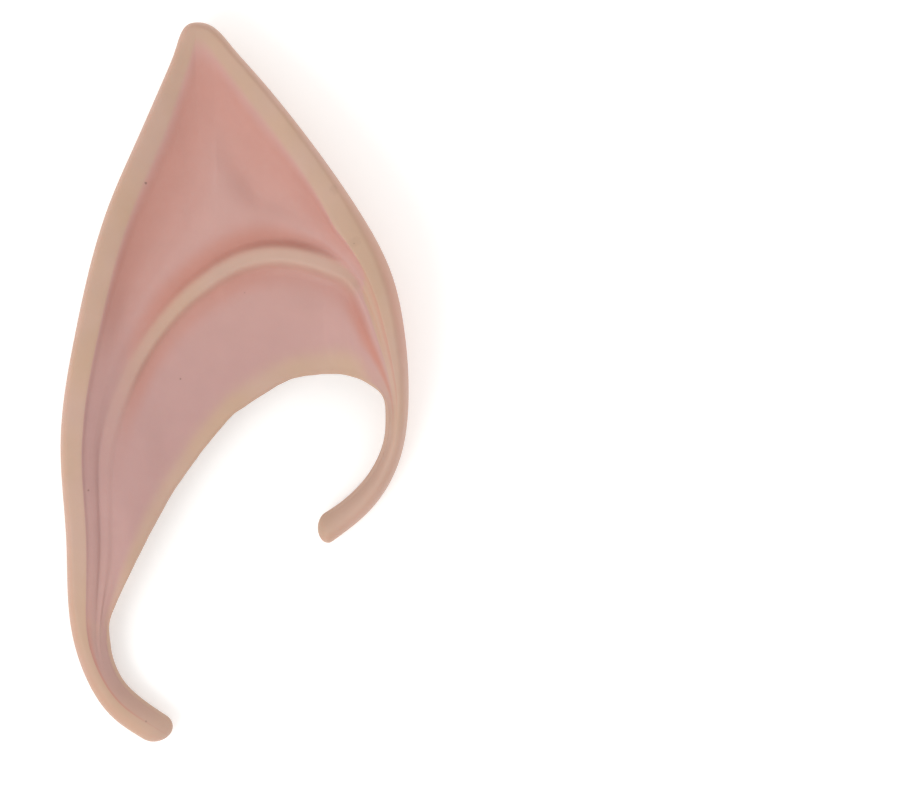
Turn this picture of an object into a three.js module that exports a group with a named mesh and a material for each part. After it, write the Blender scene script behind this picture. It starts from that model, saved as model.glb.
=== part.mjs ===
import * as THREE from 'three';

// Pointed ear tip of moulded latex, worn over the top of the wearer's own ear. It lies on its back:
// +Z is the side that is seen when worn, +Y points to the tip, and +X to the wearer's face.
// One hollow shell: a front wall and a back wall meet round the outer edge, and the pocket between
// them opens along the cutout. At both ends the shell narrows to a hook.

// Driving sizes, in millimetres
const earLength = 125;
const earWidth = 60.2;
const earDepth = 18;
const wall = 1.4;
const rimSlope = 9; // width of the rim's inner slope, from its flat band to the recess's floor
const ridgeStep = 2.8; // width of the steep step from the recess up to the middle of the ridge
const ridgeSlope = 2.8; // width of the softer slope from the ridge down to the hollow face
const ridgeCrown = 1.9; // width of the ridge's rounded top
const lipBand = 3.5; // width of the band along the cutout that turns down to its edge
const recessSwell = 0.5; // how far the recess's floor stands up in its middle
const faceSwell = 0.5; // how far the hollow face below the ridge stands up in its middle
const swellLength = 18; // length of floor that has its full swell
const backCorner = 8; // width of the round between the side and the flat of the back
const backSetIn = 1.5; // how far the back wall's edge stays behind the front wall's at the cutout
const hookPlug = 9; // length at each hook's end over which the channel closes
const mouthDip = 0.15; // how far the closed mouth stays hollow at a hook's end

// Smoothness
const sectionsPerRow = 3;
const capSections = 4;
const edgePieces = 300;
const insetSteps = 60;

// How far each hook's rounded end stands out, as a share of half its width
const frontEndRound = 0.8;
const rearEndRound = 1;

// Roundness of the rim's shoulder and the back's corner: 1 is a plain ellipse, less is squarer
const squareness = 0.85;

// Shares of the fall from the rim's crest to the recess's floor that are done where its flat band
// ends, and where the steep stretch under it ends, and that stretch's share of the slope's width
const bandFall = 0.07;
const steepFall = 0.56;
const steepShare = 0.36;

// How far the ridge's rounded top falls at its two edges, as a share of the top's width
const crownFall = 0.1;

// Where the side of the ear is widest, as a share of the height from the back to the rim
const widestHeight = 0.45;

// Share of the fall from the hollow face to the cutout's edge that is done where the lip band starts
const lipFall = 0.35;

// Inner faces: how much thicker the wall is under the rim's crest, where the hollow under the rim is
// highest between the side and the band's end, how far the recess's inner face stays behind, where
// its steep stretch ends, where it reaches the hollow face between the ridge and that face, and where
// the back's flat starts at the earliest between the side and the cutout
const crestThickness = 1.25;
const crestReach = 0.35;
const recessLag = 0.8 * wall;
const insideSteepShare = 0.5;
const insideFaceShare = 0.7;
const insideFlatShare = 0.3;

// Largest shares of the room between two lines of the section that a band may take where it narrows
const most = {
  crest: 0.75,
  slope: 0.6,
  band: 0.6,
  step: 0.25,
  ridgeSlope: 0.3,
  lip: 0.4,
  setIn: 0.12,
  backCorner: 0.8,
};

// Plan of the ear, a row for each section, from the front hook's end up the front, over the tip and
// down the rear to the rear hook's end. A section runs from the outer edge over the ridge line to the
// cutout. X values are shares of the width from the left, Y values shares of the length from below.
const planColumns = ['outerX', 'outerY', 'ridgeX', 'ridgeY', 'cutX', 'cutY'];
const planRows = [
  [0.780, 0.280, 0.768, 0.300, 0.757, 0.319],
  [0.894, 0.326, 0.863, 0.340, 0.842, 0.350],
  [0.974, 0.393, 0.941, 0.400, 0.919, 0.405],
  [1.000, 0.476, 0.961, 0.468, 0.935, 0.462],
  [0.988, 0.573, 0.914, 0.562, 0.911, 0.490],
  [0.953, 0.649, 0.856, 0.630, 0.856, 0.506],
  [0.862, 0.735, 0.776, 0.661, 0.778, 0.512],
  [0.721, 0.833, 0.666, 0.676, 0.701, 0.509],
  [0.551, 0.934, 0.543, 0.672, 0.625, 0.496],
  [0.491, 0.967, 0.503, 0.665, 0.595, 0.487],
  [0.420, 0.998, 0.464, 0.655, 0.557, 0.475],
  [0.393, 1.000, 0.453, 0.652, 0.544, 0.471],
  [0.369, 0.998, 0.444, 0.649, 0.532, 0.467],
  [0.333, 0.967, 0.416, 0.639, 0.501, 0.457],
  [0.295, 0.920, 0.378, 0.625, 0.462, 0.437],
  [0.219, 0.836, 0.316, 0.595, 0.410, 0.406],
  [0.139, 0.746, 0.257, 0.558, 0.355, 0.370],
  [0.042, 0.567, 0.170, 0.475, 0.289, 0.318],
  [0.000, 0.415, 0.126, 0.381, 0.223, 0.257],
  [0.015, 0.282, 0.126, 0.263, 0.153, 0.186],
  [0.030, 0.152, 0.109, 0.144, 0.141, 0.142],
  [0.071, 0.089, 0.128, 0.096, 0.159, 0.104],
  [0.144, 0.036, 0.188, 0.055, 0.214, 0.068],
  [0.234, 0.005, 0.274, 0.025, 0.301, 0.038],
];

// Heights above the surface that the ear lies on, as shares of its depth. Along is the share of the
// outer edge's length from the front hook's end. Under the rim the recess runs from recessTop to
// recessFoot at the ridge. Face is the hollow face below the ridge, lip the cutout's edge, and back
// the back wall by the rim. Crest and band are the distance from the outer edge to the rim's crest
// and the width of its flat band, as shares of the width. Plain is how far the front's section is one
// plain curve from the rim to the lip, as it is along the hooks.
const heightColumns = [
  'along', 'crest', 'band', 'plain', 'rim', 'recessTop', 'recessFoot', 'ridge', 'face', 'lip', 'back',
];
const heightRows = [
  [0.00, 0.030, 0.012, 1.0, 0.29, 0.280, 0.275, 0.270, 0.26, 0.24, 0.02],
  [0.07, 0.028, 0.015, 1.0, 0.42, 0.405, 0.395, 0.385, 0.37, 0.34, 0.00],
  [0.12, 0.024, 0.020, 1.0, 0.68, 0.650, 0.635, 0.620, 0.60, 0.55, 0.00],
  [0.17, 0.032, 0.038, 0.6, 0.91, 0.870, 0.860, 0.840, 0.72, 0.61, 0.00],
  [0.21, 0.036, 0.054, 0.1, 1.00, 0.960, 0.950, 0.930, 0.70, 0.61, 0.00],
  [0.24, 0.034, 0.057, 0.0, 0.99, 0.920, 0.900, 0.880, 0.67, 0.60, 0.00],
  [0.26, 0.030, 0.056, 0.0, 0.97, 0.850, 0.800, 0.830, 0.64, 0.59, 0.01],
  [0.32, 0.022, 0.045, 0.0, 0.88, 0.640, 0.625, 0.740, 0.60, 0.57, 0.04],
  [0.39, 0.022, 0.036, 0.0, 0.71, 0.520, 0.580, 0.690, 0.58, 0.56, 0.09],
  [0.44, 0.022, 0.024, 0.0, 0.57, 0.500, 0.580, 0.670, 0.57, 0.55, 0.12],
  [0.50, 0.023, 0.042, 0.0, 0.63, 0.505, 0.575, 0.645, 0.56, 0.54, 0.10],
  [0.61, 0.024, 0.046, 0.0, 0.74, 0.560, 0.575, 0.610, 0.54, 0.52, 0.03],
  [0.69, 0.024, 0.044, 0.0, 0.76, 0.670, 0.630, 0.605, 0.57, 0.52, 0.00],
  [0.77, 0.024, 0.043, 0.0, 0.72, 0.660, 0.630, 0.605, 0.58, 0.52, 0.00],
  [0.84, 0.024, 0.043, 0.0, 0.62, 0.580, 0.555, 0.530, 0.50, 0.45, 0.00],
  [0.91, 0.030, 0.036, 0.4, 0.47, 0.445, 0.430, 0.410, 0.38, 0.32, 0.00],
  [0.95, 0.036, 0.028, 1.0, 0.37, 0.355, 0.345, 0.335, 0.30, 0.26, 0.01],
  [1.00, 0.040, 0.015, 1.0, 0.29, 0.280, 0.275, 0.270, 0.26, 0.24, 0.02],
];

const mix = (a, b, t) => a + (b - a) * t;
const easy = (t) => (1 - Math.cos(Math.PI * t)) / 2;

// Smooth curve through the values at the given places, which never swings past them
function smoothCurve(places, values) {
  const steps = places.slice(1).map((place, i) => place - places[i]);
  const rises = steps.map((step, i) => (values[i + 1] - values[i]) / step);
  const slopes = values.map((_, i) => {
    if (i === 0) return rises[0];
    if (i === values.length - 1) return rises[i - 1];
    if (rises[i - 1] * rises[i] <= 0) return 0;
    const before = 2 * steps[i] + steps[i - 1];
    const after = steps[i] + 2 * steps[i - 1];
    return (before + after) / (before / rises[i - 1] + after / rises[i]);
  });
  return (place) => {
    let i = 0;
    while (i < steps.length - 1 && place > places[i + 1]) i += 1;
    const step = steps[i];
    const t = (place - places[i]) / step;
    const early = (1 + 2 * t) * (1 - t) ** 2 * values[i] + t * (1 - t) ** 2 * step * slopes[i];
    const late = t * t * (3 - 2 * t) * values[i + 1] + t * t * (t - 1) * step * slopes[i + 1];
    return early + late;
  };
}

// Curve through the values at the given places that bends evenly all along
function roundCurve(places, values) {
  const steps = places.slice(1).map((place, i) => place - places[i]);
  const rises = steps.map((step, i) => (values[i + 1] - values[i]) / step);
  const shares = [0];
  const sums = [0];
  for (let i = 1; i < steps.length; i += 1) {
    const weight = 2 * (steps[i - 1] + steps[i]) - steps[i - 1] * shares[i - 1];
    shares.push(steps[i] / weight);
    sums.push((6 * (rises[i] - rises[i - 1]) - steps[i - 1] * sums[i - 1]) / weight);
  }
  const bends = values.map(() => 0);
  for (let i = steps.length - 1; i > 0; i -= 1) bends[i] = sums[i] - shares[i] * bends[i + 1];
  return (place) => {
    let i = 0;
    while (i < steps.length - 1 && place > places[i + 1]) i += 1;
    const step = steps[i];
    const past = place - places[i];
    const left = step - past;
    const bent = (bends[i] * left ** 3 + bends[i + 1] * past ** 3) / (6 * step);
    const from = values[i] / step - (bends[i] * step) / 6;
    const to = values[i + 1] / step - (bends[i + 1] * step) / 6;
    return bent + from * left + to * past;
  };
}

function tableCurves(makeCurve, columns, rows, places) {
  const curves = {};
  columns.forEach((column, i) => {
    curves[column] = makeCurve(places, rows.map((row) => row[i]));
  });
  return curves;
}

// Plan points of the rows in millimetres, and how far along the outer edge each row lies
const planSizes = planColumns.map((column) => (column.endsWith('X') ? earWidth : earLength));
const planPoints = planRows.map((row) => row.map((share, i) => share * planSizes[i]));
const rowPlaces = [0];
for (let i = 1; i < planPoints.length; i += 1) {
  const [x, y] = planPoints[i];
  const [lastX, lastY] = planPoints[i - 1];
  rowPlaces.push(rowPlaces[i - 1] + Math.hypot(x - lastX, y - lastY));
}
const edgeLength = rowPlaces[rowPlaces.length - 1];
const plan = tableCurves(roundCurve, planColumns, planPoints, rowPlaces);
const heights = tableCurves(smoothCurve, heightColumns, heightRows, heightRows.map((row) => row[0]));

// Short straight pieces of the outer edge, to measure distances from it
const edgePoints = Array.from({ length: edgePieces + 1 }, (_, i) => {
  const place = (edgeLength * i) / edgePieces;
  return new THREE.Vector2(plan.outerX(place), plan.outerY(place));
});

// Point in plan at a distance in from the outer edge, on a bent line over the ridge to the cutout
function planPath(place) {
  const outer = new THREE.Vector2(plan.outerX(place), plan.outerY(place));
  const ridge = new THREE.Vector2(plan.ridgeX(place), plan.ridgeY(place));
  const cut = new THREE.Vector2(plan.cutX(place), plan.cutY(place));
  const first = outer.distanceTo(ridge);
  const second = ridge.distanceTo(cut);
  const length = first + second;
  const at = (r) => {
    const fromOuter = ((r - first) * (r - length)) / (first * length);
    const fromRidge = (r * (length - r)) / (first * second);
    const fromCut = (r * (r - first)) / (length * second);
    return new THREE.Vector2()
      .addScaledVector(outer, fromOuter)
      .addScaledVector(ridge, fromRidge)
      .addScaledVector(cut, fromCut);
  };
  return { at, first, length };
}

function distanceToEdge(point) {
  let nearest = Infinity;
  for (let i = 0; i < edgePieces; i += 1) {
    const piece = edgePoints[i + 1].clone().sub(edgePoints[i]);
    const towards = point.clone().sub(edgePoints[i]);
    const t = Math.min(Math.max(towards.dot(piece) / piece.lengthSq(), 0), 1);
    nearest = Math.min(nearest, towards.addScaledVector(piece, -t).length());
  }
  return nearest;
}

// For a path, the distance in along it at which it is the given distance away from the outer edge
function insetOf(path) {
  const reaches = [0];
  const away = [0];
  for (let i = 1; i <= insetSteps; i += 1) {
    const r = (path.first * i) / insetSteps;
    reaches.push(r);
    away.push(Math.max(distanceToEdge(path.at(r)), away[i - 1]));
  }
  return (distance) => {
    const i = away.findIndex((value) => value > distance);
    if (i < 0) return path.first;
    return mix(reaches[i - 1], reaches[i], (distance - away[i - 1]) / (away[i] - away[i - 1]));
  };
}

// All sizes of the section at one place along the outer edge
function sectionAt(place) {
  const path = planPath(place);
  const insetAt = insetOf(path);
  const along = place / edgeLength;
  const height = (column) => heights[column](along) * earDepth;
  const crestInset = heights.crest(along) * earWidth;
  const bandInset = crestInset + heights.band(along) * earWidth;
  const crest = Math.min(insetAt(crestInset), path.first * most.crest);
  const room = path.first - crest;
  const edgeAt = path.length - wall / 2;
  const spare = edgeAt - path.first;
  const recessStart = Math.min(insetAt(bandInset + rimSlope), crest + room * most.slope);
  const bandAt = Math.min(insetAt(bandInset), mix(crest, recessStart, most.band));
  const recessEnd = path.first - Math.min(ridgeStep, room * most.step);
  const faceAt = path.first + Math.min(ridgeSlope, spare * most.ridgeSlope);
  const lipAt = edgeAt - Math.min(lipBand, spare * most.lip);
  const swell = (full, length) => full * Math.min(length / swellLength, 1);
  return {
    path,
    sideAt: insetAt(wall),
    crest,
    bandAt,
    steepAt: mix(bandAt, recessStart, steepShare),
    recessStart,
    recessEnd,
    ridgeAt: path.first,
    faceAt,
    lipAt,
    edgeAt,
    recessSwell: swell(recessSwell, recessEnd - recessStart),
    faceSwell: swell(faceSwell, lipAt - faceAt),
    backEdgeAt: edgeAt - Math.min(backSetIn, path.length * most.setIn),
    backFlatAt: Math.min(insetAt(backCorner), path.first * most.backCorner),
    crown: Math.min(ridgeCrown, room * most.step, spare * most.ridgeSlope),
    plain: heights.plain(along),
    rim: height('rim'),
    recessTop: height('recessTop'),
    recessFoot: height('recessFoot'),
    ridge: height('ridge'),
    face: height('face'),
    lip: height('lip'),
    back: height('back'),
    widest: mix(height('back'), height('rim'), widestHeight),
    fromEnd: Math.min(place, edgeLength - place),
  };
}

// Quarter of a full, slightly squared round, from upright at its first point to level at its last
function quarterRound(from, to, count) {
  return Array.from({ length: count }, (_, i) => {
    const turn = (((i + 1) / count) * Math.PI) / 2;
    const across = 1 - Math.max(Math.cos(turn), 0) ** squareness;
    return [mix(from[0], to[0], across), mix(from[1], to[1], Math.sin(turn) ** squareness)];
  });
}

function halfRound(centre, radius, count) {
  return Array.from({ length: count - 1 }, (_, i) => {
    const turn = Math.PI / 2 - ((i + 1) / count) * Math.PI;
    return [centre[0] + radius * Math.cos(turn), centre[1] + radius * Math.sin(turn)];
  });
}

// Knot halfway between two others, raised by the swell
function raised(from, to, swell) {
  return [mix(from[0], to[0], 0.5), mix(from[1], to[1], 0.5) + swell];
}

// Points on a smooth line through a section's knots, from the second knot on, as [distance in, height].
// The first knot only sets the slope. Counts say how many points lie in each stretch between knots.
function smoothLine(knots, counts) {
  const line = smoothCurve(knots.map(([r]) => r), knots.map(([, z]) => z));
  return counts.flatMap((count, i) => Array.from({ length: count }, (_, k) => {
    const r = mix(knots[i + 1][0], knots[i + 2][0], (k + 1) / count);
    return [r, line(r)];
  }));
}

// Front wall's outer face from the widest line to the cutout's edge
function frontFace(s) {
  const side = [0, s.widest];
  const crest = [s.crest, s.rim];
  const start = [s.recessStart, s.recessTop];
  const foot = [s.recessEnd, s.recessFoot];
  const face = [s.faceAt, s.face];
  const lip = [s.lipAt, mix(s.face, s.lip, lipFall)];
  const crownEdge = s.ridge - s.crown * crownFall;
  const knots = [
    side,
    crest,
    [s.bandAt, mix(s.rim, s.recessTop, bandFall)],
    [s.steepAt, mix(s.rim, s.recessTop, steepFall)],
    start,
    raised(start, foot, s.recessSwell),
    foot,
    [s.ridgeAt - s.crown / 2, crownEdge],
    [s.ridgeAt + s.crown / 2, crownEdge],
    face,
    raised(face, lip, s.faceSwell),
    lip,
    [s.edgeAt, s.lip],
  ];
  const line = smoothLine(knots, [2, 2, 2, 2, 2, 2, 2, 2, 2, 2, 2]);
  return [side, ...quarterRound(side, crest, 4), ...line.map((point) => plainer(s, point))];
}

// A point of the front, moved to one plain curve from the rim's crest to the cutout's edge
function plainer(s, [r, z]) {
  const t = (r - s.crest) / (s.edgeAt - s.crest);
  return [r, mix(z, mix(s.rim, s.lip, t * t), s.plain)];
}

// Front wall's inner face, from the cutout back to the widest line, one wall below the outer face
function frontInside(s) {
  const side = [s.sideAt, s.widest];
  const edge = [s.edgeAt, s.lip - wall];
  const crest = [mix(side[0], s.bandAt, crestReach), s.rim - wall * crestThickness];
  const startAt = Math.max(s.recessStart - recessLag, mix(crest[0], s.recessStart, 0.5));
  const start = [startAt, s.recessTop - wall];
  const middle = [s.ridgeAt, mix(Math.min(s.recessFoot, s.face), s.recessFoot, 0.5) - wall];
  const face = [mix(s.ridgeAt, s.faceAt, insideFaceShare), s.face - wall];
  const steepAt = mix(crest[0], start[0], insideSteepShare);
  const knots = [
    side,
    crest,
    [steepAt, mix(crest[1], start[1], steepFall)],
    start,
    raised(start, middle, s.recessSwell),
    middle,
    face,
    raised(face, edge, s.faceSwell),
    edge,
  ];
  const line = smoothLine(knots, [2, 1, 1, 1, 1, 2, 2]);
  return [side, ...quarterRound(side, crest, 3), ...line].reverse();
}

// Back wall's inner face from the widest line to the cutout
function backInside(s) {
  const side = [s.sideAt, s.widest];
  const edge = [s.backEdgeAt, wall];
  const flat = [Math.max(s.backFlatAt, mix(side[0], edge[0], insideFlatShare)), s.back + wall];
  const middle = [mix(flat[0], edge[0], 0.5), wall];
  return [...quarterRound(side, flat, 3), ...smoothLine([side, flat, middle, edge], [2, 2])];
}

// Back wall's outer face from its edge at the cutout to the widest line, which is left out
function backFace(s) {
  const side = [0, s.widest];
  const flat = [s.backFlatAt, s.back];
  const edge = [s.backEdgeAt, 0];
  const middle = [mix(flat[0], edge[0], 0.5), 0];
  const line = smoothLine([side, flat, middle, edge], [2, 2]);
  return [...quarterRound(side, flat, 4), ...line].reverse();
}

// Whole loop of a section. Towards a hook's end the channel's points move to its mouth and close it.
function sectionLoop(s) {
  const inside = [...frontInside(s), ...backInside(s)];
  const first = inside[0];
  const last = inside[inside.length - 1];
  const closed = 1 - easy(Math.min(s.fromEnd / hookPlug, 1));
  const channel = inside.map(([r, z], i) => {
    const t = i / (inside.length - 1);
    const mouth = mix(first[0], last[0], t) - mouthDip * Math.sin(Math.PI * t);
    return [mix(r, mouth, closed), mix(z, mix(first[1], last[1], t), closed)];
  });
  return [
    ...frontFace(s),
    ...halfRound([s.edgeAt, s.lip - wall / 2], wall / 2, 3),
    ...channel,
    ...halfRound([s.backEdgeAt, wall / 2], wall / 2, 3),
    ...backFace(s),
  ];
}

function sectionPoints(place) {
  const s = sectionAt(place);
  return sectionLoop(s).map(([r, z]) => {
    const spot = s.path.at(r);
    return new THREE.Vector3(spot.x, spot.y, z);
  });
}

// Rings that round off a hook's end: each one smaller and further out, and last the point itself
function roundedEnd(place, outward, share) {
  const ring = sectionPoints(place);
  const { path, rim, back } = sectionAt(place);
  const middle = path.at(path.length / 2);
  const centre = new THREE.Vector3(middle.x, middle.y, (rim + back) / 2);
  const reach = (share * path.length) / 2;
  const nearby = planPath(place - outward * wall);
  const step = middle.clone().sub(nearby.at(nearby.length / 2)).normalize();
  const ahead = new THREE.Vector3(step.x, step.y, 0);
  const rings = [];
  for (let i = 1; i <= capSections; i += 1) {
    const turn = ((i / (capSections + 1)) * Math.PI) / 2;
    const moved = centre.clone().addScaledVector(ahead, reach * Math.sin(turn));
    rings.push(ring.map((p) => p.clone().sub(centre).multiplyScalar(Math.cos(turn)).add(moved)));
  }
  return { rings, point: centre.clone().addScaledVector(ahead, reach) };
}

function shellGeometry() {
  const places = [];
  for (let i = 0; i < rowPlaces.length - 1; i += 1) {
    for (let k = 0; k < sectionsPerRow; k += 1) {
      places.push(mix(rowPlaces[i], rowPlaces[i + 1], k / sectionsPerRow));
    }
  }
  places.push(edgeLength);

  const front = roundedEnd(0, -1, frontEndRound);
  const rear = roundedEnd(edgeLength, 1, rearEndRound);
  const rings = [...front.rings.reverse(), ...places.map(sectionPoints), ...rear.rings];
  const count = rings[0].length;
  const points = [...rings.flat(), front.point, rear.point];
  const faces = [];
  for (let i = 0; i < rings.length - 1; i += 1) {
    for (let k = 0; k < count; k += 1) {
      const next = (k + 1) % count;
      const a = i * count + k;
      const b = i * count + next;
      faces.push(a, a + count, b, b, a + count, b + count);
    }
  }
  const lastRing = (rings.length - 1) * count;
  const frontPoint = rings.length * count;
  for (let k = 0; k < count; k += 1) {
    const next = (k + 1) % count;
    faces.push(frontPoint, k, next);
    faces.push(frontPoint + 1, lastRing + next, lastRing + k);
  }

  const geometry = new THREE.BufferGeometry().setFromPoints(points);
  geometry.setIndex(faces);
  geometry.computeBoundingBox();
  const centre = geometry.boundingBox.getCenter(new THREE.Vector3());
  geometry.translate(-centre.x, -centre.y, 0);
  geometry.computeVertexNormals();
  return geometry;
}

const latex = new THREE.MeshStandardMaterial({ color: 0xc9998c, roughness: 0.55, metalness: 0 });

const shell = new THREE.Mesh(shellGeometry(), latex);
shell.name = 'ear_shell';

const group = new THREE.Group();
group.add(shell);

export default group;
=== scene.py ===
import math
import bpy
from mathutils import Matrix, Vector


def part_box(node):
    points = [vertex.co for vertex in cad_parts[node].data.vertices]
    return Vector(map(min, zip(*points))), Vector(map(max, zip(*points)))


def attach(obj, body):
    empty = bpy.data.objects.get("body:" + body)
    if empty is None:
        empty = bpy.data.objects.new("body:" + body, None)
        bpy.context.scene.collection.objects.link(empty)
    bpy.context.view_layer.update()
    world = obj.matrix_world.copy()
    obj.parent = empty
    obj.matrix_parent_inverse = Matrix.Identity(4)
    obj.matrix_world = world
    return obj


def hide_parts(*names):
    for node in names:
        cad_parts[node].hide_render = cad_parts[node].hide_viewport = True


bl_info = {
    "name": "Elf ear tip",
    "version": (1, 0, 0),
    "blender": (4, 5, 0),
    "location": "3D View > Sidebar > Ear tip",
    "description": "Builds a moulded latex ear tip on its packed frame, with a plain studio round it",
    "category": "Object",
}

from types import SimpleNamespace

import bpy
import numpy as np
from bpy.props import FloatProperty, FloatVectorProperty, IntProperty, PointerProperty
from bpy.types import Operator, Panel, PropertyGroup
from mathutils import Vector

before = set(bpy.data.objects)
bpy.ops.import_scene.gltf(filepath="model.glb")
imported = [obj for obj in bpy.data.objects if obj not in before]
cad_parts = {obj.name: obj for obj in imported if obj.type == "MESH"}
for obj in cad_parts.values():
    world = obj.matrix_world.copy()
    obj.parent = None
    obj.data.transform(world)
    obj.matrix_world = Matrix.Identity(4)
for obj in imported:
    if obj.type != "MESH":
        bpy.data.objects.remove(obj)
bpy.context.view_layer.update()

SHELL_NODE = "ear_shell"
MM = 0.001
shell_low, shell_high = (Vector(corner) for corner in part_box(SHELL_NODE))
shell_size = shell_high - shell_low
shell_centre = (shell_low + shell_high) / 2

# The photograph's frame: its width, where the ear's middle lies in it, and the size of a pixel
PHOTO_PIXELS = (900, 794)
EAR_MIDDLE_PIXEL = (234.25, 382.5)
PIXEL_SIZE = 0.1731 * MM

# Plan of the ear, a row for each section, from the front hook's end up the front, over the tip and
# down the rear to the rear hook's end. A section runs from the outer edge over the ridge line to the
# cutout. X values are shares of the width from the left, Y values shares of the length from below.
PLAN_COLUMNS = ("outer_x", "outer_y", "ridge_x", "ridge_y", "cut_x", "cut_y")
PLAN_ROWS = (
    (0.780, 0.280, 0.768, 0.300, 0.757, 0.319),
    (0.894, 0.326, 0.863, 0.340, 0.842, 0.350),
    (0.974, 0.393, 0.941, 0.400, 0.919, 0.405),
    (1.000, 0.476, 0.961, 0.468, 0.935, 0.462),
    (0.988, 0.573, 0.914, 0.562, 0.911, 0.490),
    (0.953, 0.649, 0.856, 0.630, 0.856, 0.506),
    (0.862, 0.735, 0.776, 0.661, 0.778, 0.512),
    (0.721, 0.833, 0.666, 0.676, 0.701, 0.509),
    (0.551, 0.934, 0.543, 0.672, 0.625, 0.496),
    (0.491, 0.967, 0.503, 0.665, 0.595, 0.487),
    (0.420, 0.998, 0.464, 0.655, 0.557, 0.475),
    (0.393, 1.000, 0.453, 0.652, 0.544, 0.471),
    (0.369, 0.998, 0.444, 0.649, 0.532, 0.467),
    (0.333, 0.967, 0.416, 0.639, 0.501, 0.457),
    (0.295, 0.920, 0.378, 0.625, 0.462, 0.437),
    (0.219, 0.836, 0.316, 0.595, 0.410, 0.406),
    (0.139, 0.746, 0.257, 0.558, 0.355, 0.370),
    (0.042, 0.567, 0.170, 0.475, 0.289, 0.318),
    (0.000, 0.415, 0.126, 0.381, 0.223, 0.257),
    (0.015, 0.282, 0.126, 0.263, 0.153, 0.186),
    (0.030, 0.152, 0.109, 0.144, 0.141, 0.142),
    (0.071, 0.089, 0.128, 0.096, 0.159, 0.104),
    (0.144, 0.036, 0.188, 0.055, 0.214, 0.068),
    (0.234, 0.005, 0.274, 0.025, 0.301, 0.038),
)

# Heights above the surface that the ear lies on, as shares of its depth. Along is the share of the
# outer edge's length from the front hook's end. Under the rim the recess runs from recess_top to
# recess_foot at the ridge. Face is the hollow face below the ridge, lip the cutout's edge, and back
# the back wall by the rim. Crest and band are the distance from the outer edge to the rim's crest
# and the width of its flat band, as shares of the width. Plain is how far the front's section is one
# plain curve from the rim to the lip, as it is along the hooks.
HEIGHT_COLUMNS = (
    "along", "crest", "band", "plain",
    "rim", "recess_top", "recess_foot", "ridge", "face", "lip", "back",
)
HEIGHT_ROWS = (
    (0.00, 0.030, 0.012, 1.0, 0.29, 0.280, 0.275, 0.270, 0.26, 0.24, 0.02),
    (0.07, 0.028, 0.015, 1.0, 0.42, 0.405, 0.395, 0.385, 0.37, 0.34, 0.00),
    (0.12, 0.024, 0.020, 1.0, 0.68, 0.650, 0.635, 0.620, 0.60, 0.55, 0.00),
    (0.17, 0.032, 0.038, 0.6, 0.91, 0.870, 0.860, 0.840, 0.72, 0.61, 0.00),
    (0.21, 0.036, 0.054, 0.1, 1.00, 0.960, 0.950, 0.930, 0.70, 0.61, 0.00),
    (0.24, 0.034, 0.057, 0.0, 0.99, 0.920, 0.900, 0.880, 0.67, 0.60, 0.00),
    (0.26, 0.030, 0.056, 0.0, 0.97, 0.850, 0.800, 0.830, 0.64, 0.59, 0.01),
    (0.32, 0.022, 0.045, 0.0, 0.88, 0.640, 0.625, 0.740, 0.60, 0.57, 0.04),
    (0.39, 0.022, 0.036, 0.0, 0.71, 0.520, 0.580, 0.690, 0.58, 0.56, 0.09),
    (0.44, 0.022, 0.024, 0.0, 0.57, 0.500, 0.580, 0.670, 0.57, 0.55, 0.12),
    (0.50, 0.023, 0.042, 0.0, 0.63, 0.505, 0.575, 0.645, 0.56, 0.54, 0.10),
    (0.61, 0.024, 0.046, 0.0, 0.74, 0.560, 0.575, 0.610, 0.54, 0.52, 0.03),
    (0.69, 0.024, 0.044, 0.0, 0.76, 0.670, 0.630, 0.605, 0.57, 0.52, 0.00),
    (0.77, 0.024, 0.043, 0.0, 0.72, 0.660, 0.630, 0.605, 0.58, 0.52, 0.00),
    (0.84, 0.024, 0.043, 0.0, 0.62, 0.580, 0.555, 0.530, 0.50, 0.45, 0.00),
    (0.91, 0.030, 0.036, 0.4, 0.47, 0.445, 0.430, 0.410, 0.38, 0.32, 0.00),
    (0.95, 0.036, 0.028, 1.0, 0.37, 0.355, 0.345, 0.335, 0.30, 0.26, 0.01),
    (1.00, 0.040, 0.015, 1.0, 0.29, 0.280, 0.275, 0.270, 0.26, 0.24, 0.02),
)

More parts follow.
